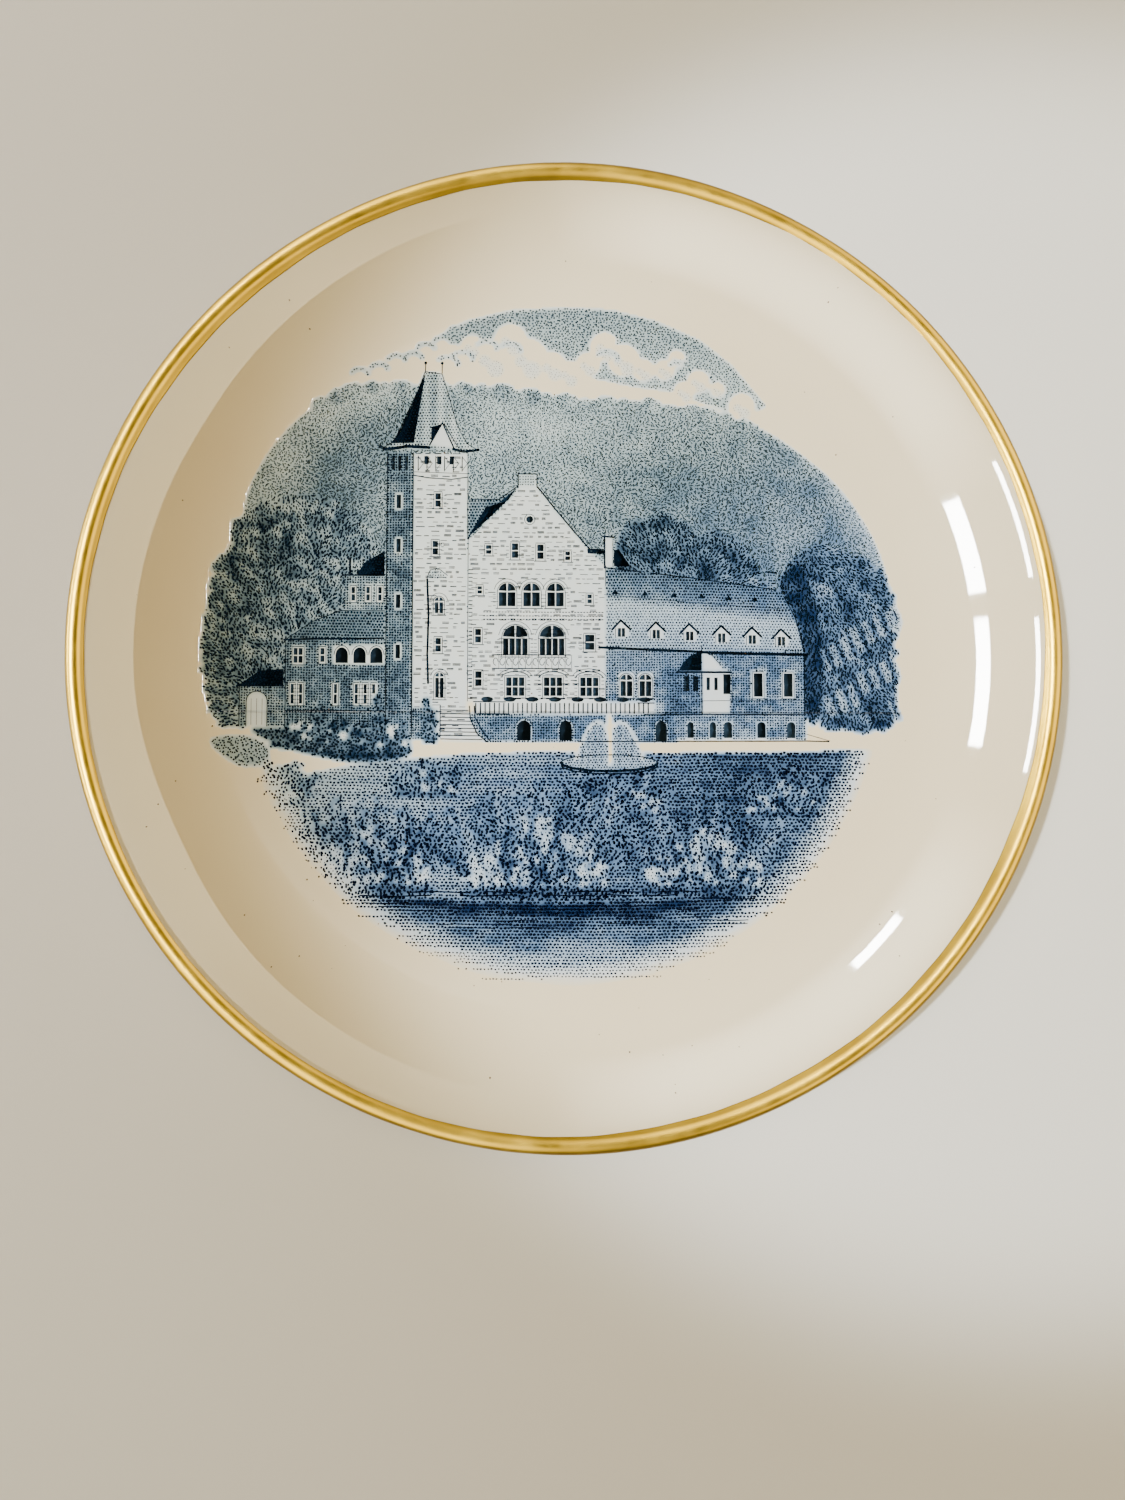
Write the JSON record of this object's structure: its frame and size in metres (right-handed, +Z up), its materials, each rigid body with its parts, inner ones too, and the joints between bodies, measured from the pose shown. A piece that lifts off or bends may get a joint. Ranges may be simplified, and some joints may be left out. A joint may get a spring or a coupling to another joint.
{
  "type": "souvenir plate",
  "caption": "Shallow round coupe plate of glazed porcelain with a gilded lip, a printed landscape vignette and a foot ring.",
  "frame": {"origin": "centre of the plate on the plane that the foot ring stands on", "axes": "+Z up out of the well along the axis of the plate, +Y towards the top of the printed picture, +X to its right"},
  "size_m": [0.195, 0.195, 0.0195],
  "materials": {
    "biscuit": "matt unglazed porcelain, bare on the standing face of the foot ring",
    "glaze": "clear high-gloss glaze over warm cream porcelain",
    "gold": "burnished gold band, lightly worn at its edges",
    "ink": "dark cobalt-blue printed ink, fired on"
  },
  "bodies": {
    "root": {"porcelain_body": "biscuit", "glaze_coat": "glaze", "glaze_base": "glaze", "gold_rim_band": "gold", "transfer_picture": "ink", "back_stamp": "ink"}
  },
  "joints": []
}
